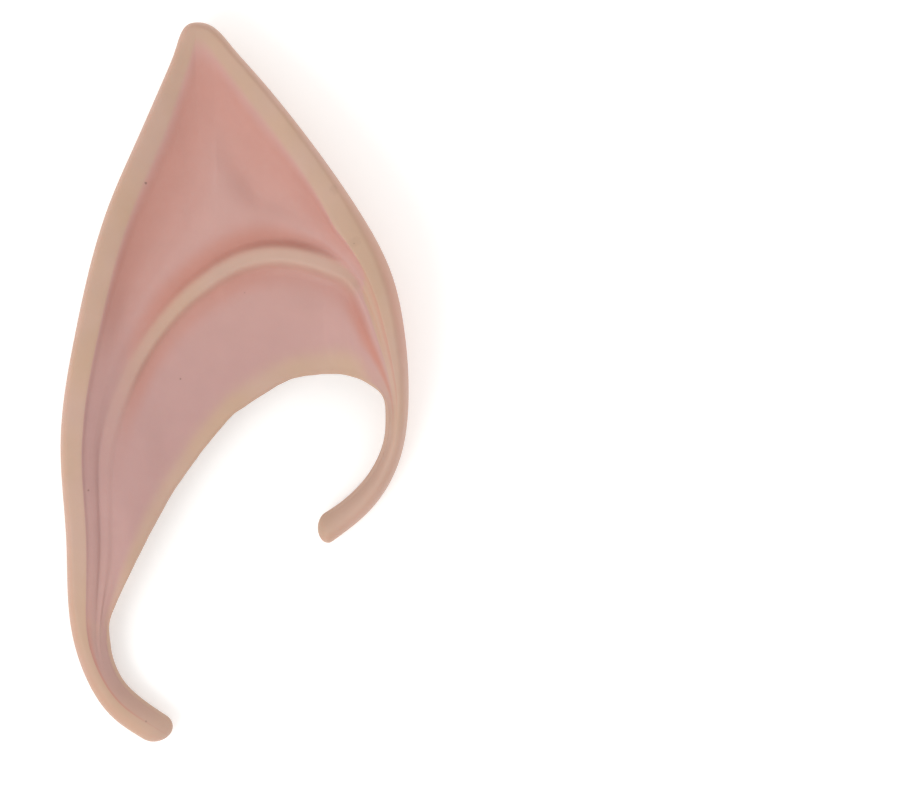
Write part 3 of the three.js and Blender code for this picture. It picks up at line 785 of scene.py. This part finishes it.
def latex_material(finish):
    """Natural latex rubber, slush-moulded in plaster and sprayed pink in its hollows.

    The plaster leaves a matte, faintly pebbled skin, and the spray has soft edges and gathers in
    creases, so the eye sees beige bands fade into pink, a dull wide sheen and a few caught specks.
    The deeper pink on the outer wall, the rim's inner slope and about the ridge is also painted shade.
    """
    material = bpy.data.materials.new("latex_slush_moulded")
    material.use_nodes = True
    tree = material.node_tree
    tree.nodes.clear()
    place = add_node(tree, "ShaderNodeTexCoord").outputs["Object"]
    blush = add_node(tree, "ShaderNodeAttribute", {"attribute_name": "blush"}).outputs["Fac"]
    shade_and_pooled_pink = add_node(tree, "ShaderNodeAttribute", {"attribute_name": "shade_and_pooled_pink"}).outputs["Fac"]
    inside = add_node(tree, "ShaderNodeAttribute", {"attribute_name": "inside"}).outputs["Fac"]

    # Clouds about 16 mm wide, where a little of the pink drifted over the beige
    drift = add_node(
        tree, "ShaderNodeTexNoise", Vector=place, Scale=per_size(16 * MM), Detail=2, Roughness=0.5
    ).outputs["Fac"]
    drifted = add_node(
        tree, "ShaderNodeMapRange", Value=drift, From_Min=0.38, From_Max=0.62
    ).outputs["Result"]
    beige = add_node(
        tree, "ShaderNodeMix", {"data_type": "RGBA"},
        _0=drifted, _6=colour(finish.beige), _7=colour(finish.rosy_beige),
    ).outputs[2]

    # The lower hollow was sprayed with a cooler pink than the recess above the ridge
    height = add_node(tree, "ShaderNodeSeparateXYZ", Vector=place).outputs["Y"]
    cool = add_node(
        tree, "ShaderNodeMapRange", {"interpolation_type": "SMOOTHSTEP"},
        Value=height, From_Min=28 * MM, From_Max=-8 * MM,
    ).outputs["Result"]
    pink = add_node(
        tree, "ShaderNodeMix", {"data_type": "RGBA"},
        _0=cool, _6=colour(finish.pink), _7=colour(finish.cool_pink),
    ).outputs[2]

    # Spray edges are broken by droplets about 1.5 mm wide
    droplets = add_node(
        tree, "ShaderNodeTexNoise", Vector=place, Scale=per_size(1.5 * MM), Detail=3, Roughness=0.6
    ).outputs["Fac"]
    scatter = add_node(
        tree, "ShaderNodeMapRange", Value=droplets, From_Min=0.3, From_Max=0.7, To_Min=0.94, To_Max=1.06
    ).outputs["Result"]
    sprayed = add_node(
        tree, "ShaderNodeMath", {"operation": "MULTIPLY", "use_clamp": True}, _0=blush, _1=scatter
    ).outputs[0]
    painted = add_node(
        tree, "ShaderNodeMix", {"data_type": "RGBA"}, _0=sprayed, _6=beige, _7=pink
    ).outputs[2]
    # Deeper pink: painted shade, and on the rim's slope and above the ridge also spray that gathered
    gathered_and_shaded = add_node(
        tree, "ShaderNodeMath", {"operation": "MULTIPLY", "use_clamp": True}, _0=shade_and_pooled_pink, _1=scatter
    ).outputs[0]
    painted = add_node(
        tree, "ShaderNodeMix", {"data_type": "RGBA"},
        _0=gathered_and_shaded, _6=painted, _7=colour(finish.shade_and_deep_pink),
    ).outputs[2]
    painted = add_node(
        tree, "ShaderNodeMix", {"data_type": "RGBA"},
        _0=inside, _6=painted, _7=colour(finish.inside),
    ).outputs[2]

    # Uneven pigment in the cured latex, in soft blotches about 5 mm wide
    blotches = add_node(
        tree, "ShaderNodeTexNoise", Vector=place, Scale=per_size(5 * MM), Detail=3, Roughness=0.55
    ).outputs["Fac"]
    tone = add_node(
        tree, "ShaderNodeMapRange", Value=blotches, From_Min=0.3, From_Max=0.7, To_Min=0.98, To_Max=1.02
    ).outputs["Result"]
    painted = add_node(
        tree, "ShaderNodeVectorMath", {"operation": "SCALE"}, _0=painted, Scale=tone
    ).outputs[0]

    # Specks and scuffs lie on the front face at their own places, ragged by the droplets' noise
    flat_place = add_node(tree, "ShaderNodeVectorMath", {"operation": "MULTIPLY"}, _0=place, _1=(1, 1, 0))
    ragged = add_node(
        tree, "ShaderNodeMapRange", Value=droplets, From_Min=0.3, From_Max=0.7, To_Min=0.6, To_Max=1.4
    ).outputs["Result"]
    upper = add_node(tree, "ShaderNodeNewGeometry").outputs["Normal"]
    facing = add_node(tree, "ShaderNodeSeparateXYZ", Vector=upper).outputs["Z"]
    on_top = add_node(
        tree, "ShaderNodeMath", {"operation": "GREATER_THAN"}, _0=facing, _1=0.0
    ).outputs[0]
    total = None
    for row in SPECK_ROWS + SCUFF_ROWS:
        mark = SimpleNamespace(**dict(zip(MARK_COLUMNS, row)))
        away = add_node(
            tree, "ShaderNodeVectorMath", {"operation": "DISTANCE"},
            _0=flat_place.outputs[0], _1=(mark.x, mark.y, 0),
        ).outputs["Value"]
        away = add_node(
            tree, "ShaderNodeMath", {"operation": "MULTIPLY"}, _0=away, _1=ragged
        ).outputs[0]
        amount = add_node(
            tree, "ShaderNodeMapRange", {"interpolation_type": "SMOOTHSTEP"},
            Value=away, From_Min=mark.radius, From_Max=0.3 * mark.radius, To_Max=mark.strength,
        ).outputs["Result"]
        if total is None:
            total = amount
        else:
            total = add_node(
                tree, "ShaderNodeMath", {"operation": "MAXIMUM"}, _0=total, _1=amount
            ).outputs[0]
    marks = add_node(
        tree, "ShaderNodeMath", {"operation": "MULTIPLY"}, _0=total, _1=on_top
    ).outputs[0]
    painted = add_node(
        tree, "ShaderNodeMix", {"data_type": "RGBA"}, _0=marks, _6=painted, _7=colour(finish.fleck)
    ).outputs[2]

    # The sprayed places are a little duller than the bare skin
    dulled = add_node(
        tree, "ShaderNodeMath", {"operation": "MULTIPLY_ADD"}, _0=sprayed, _1=0.06, _2=finish.roughness
    ).outputs[0]
    roughness = add_node(
        tree, "ShaderNodeMath", {"operation": "MULTIPLY_ADD"}, _0=droplets, _1=0.08, _2=dulled
    ).outputs[0]

    # Plaster's pebbling, drawn 0.7 mm wide, which is as coarse as it needs to be to show
    pebbling = add_node(
        tree, "ShaderNodeTexNoise", Vector=place, Scale=per_size(0.7 * MM), Detail=4, Roughness=0.6
    ).outputs["Fac"]
    bump = add_node(
        tree, "ShaderNodeBump", Height=pebbling, Distance=0.03 * MM, Strength=0.35
    ).outputs["Normal"]

    surface = add_node(
        tree, "ShaderNodeBsdfPrincipled", Base_Color=painted, Roughness=roughness, Normal=bump,
        IOR=1.52, Subsurface_Weight=finish.glow, Subsurface_Radius=(1.0, 0.45, 0.3),
        Subsurface_Scale=1.2 * MM,
    )
    output = add_node(tree, "ShaderNodeOutputMaterial")
    tree.links.new(surface.outputs["BSDF"], output.inputs["Surface"])
    return material


def table_material(stage):
    """Opal acrylic sheet of a light table: sanded dull and lit from below, so the eye sees even
    white with only a faint shadow
    """
    material = bpy.data.materials.new("opal_acrylic_sanded")
    material.use_nodes = True
    shader = material.node_tree.nodes["Principled BSDF"]
    shader.inputs["Base Color"].default_value = colour(stage.floor)
    shader.inputs["Roughness"].default_value = 0.9
    shader.inputs["Specular IOR Level"].default_value = 0.2
    shader.inputs["Emission Color"].default_value = (1, 1, 1, 1)
    shader.inputs["Emission Strength"].default_value = stage.floor_glow
    return material


class EARTIP_OT_shell(Operator):
    """Build the moulded latex shell in place of its CAD node"""

    bl_idname = "eartip.shell"
    bl_label = "Build latex shell"

    def execute(self, context):
        settings = context.scene
        shell = bpy.data.objects.new("latex_shell", shell_mesh(settings.ear_tip_sizes))
        context.collection.objects.link(shell)
        shell.data.materials.append(latex_material(settings.ear_tip_finish))
        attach(shell, "root")
        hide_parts(SHELL_NODE)
        return {"FINISHED"}


class EARTIP_OT_stage(Operator):
    """Add the table, the soft lights and the camera"""

    bl_idname = "eartip.stage"
    bl_label = "Build stage"

    def execute(self, context):
        stage = context.scene.ear_tip_stage
        half = TABLE_HALF
        corners = [(-half, -half, 0), (half, -half, 0), (half, half, 0), (-half, half, 0)]
        mesh = bpy.data.meshes.new("table")
        mesh.from_pydata(corners, [], [(0, 1, 2, 3)])
        mesh.materials.append(table_material(stage))
        table = bpy.data.objects.new("table", mesh)
        context.collection.objects.link(table)

        # An even white room, and one large soft light from the ear's rear and below
        world = bpy.data.worlds.new("even_room")
        world.use_nodes = True
        background = world.node_tree.nodes["Background"]
        background.inputs["Color"].default_value = (1, 1, 1, 1)
        background.inputs["Strength"].default_value = stage.sky
        context.scene.world = world
        light = bpy.data.lights.new("soft_key", "AREA")
        light.shape = "DISK"
        light.size = LAMP_WIDTH
        light.energy = stage.key
        lamp = bpy.data.objects.new("soft_key", light)
        lamp.location = LAMP_PLACE
        lamp.rotation_euler = (-lamp.location).to_track_quat("-Z", "Y").to_euler()
        context.collection.objects.link(lamp)

        # The camera looks straight down at the middle of the photograph's frame
        across = (PHOTO_PIXELS[0] / 2 - EAR_MIDDLE_PIXEL[0]) * PIXEL_SIZE
        down = (PHOTO_PIXELS[1] / 2 - EAR_MIDDLE_PIXEL[1]) * PIXEL_SIZE
        lens = bpy.data.cameras.new("camera")
        lens.sensor_width = SENSOR_WIDTH
        lens.lens = lens.sensor_width * stage.camera_distance / (PHOTO_PIXELS[0] * PIXEL_SIZE)
        lens.clip_start = 0.01
        camera = bpy.data.objects.new("camera", lens)
        camera.location = (
            shell_centre.x + across, shell_centre.y - down, MIDDLE_LEVEL + stage.camera_distance
        )
        context.collection.objects.link(camera)
        context.scene.camera = camera
        context.scene.view_settings.view_transform = "Standard"
        return {"FINISHED"}


class EARTIP_PT_sidebar(Panel):
    """Sizes, finish and stage of the ear tip"""

    bl_idname = "EARTIP_PT_sidebar"
    bl_label = "Ear tip"
    bl_space_type = "VIEW_3D"
    bl_region_type = "UI"
    bl_category = "Ear tip"

    def draw(self, context):
        layout = self.layout
        groups = (
            (context.scene.ear_tip_sizes, EARTIP_OT_shell),
            (context.scene.ear_tip_finish, None),
            (context.scene.ear_tip_stage, EARTIP_OT_stage),
        )
        for group, operator in groups:
            column = layout.column(align=True)
            for name in group.__annotations__:
                column.prop(group, name)
            if operator:
                layout.operator(operator.bl_idname)


CLASSES = (
    EarTipSizes, EarTipFinish, EarTipStage, EARTIP_OT_shell, EARTIP_OT_stage, EARTIP_PT_sidebar,
)


def register():
    for item in CLASSES:
        bpy.utils.register_class(item)
    bpy.types.Scene.ear_tip_sizes = PointerProperty(type=EarTipSizes)
    bpy.types.Scene.ear_tip_finish = PointerProperty(type=EarTipFinish)
    bpy.types.Scene.ear_tip_stage = PointerProperty(type=EarTipStage)


def unregister():
    del bpy.types.Scene.ear_tip_stage
    del bpy.types.Scene.ear_tip_finish
    del bpy.types.Scene.ear_tip_sizes
    for item in reversed(CLASSES):
        bpy.utils.unregister_class(item)


def main():
    register()
    bpy.ops.eartip.shell()
    bpy.ops.eartip.stage()


if __name__ == "__main__":
    main()
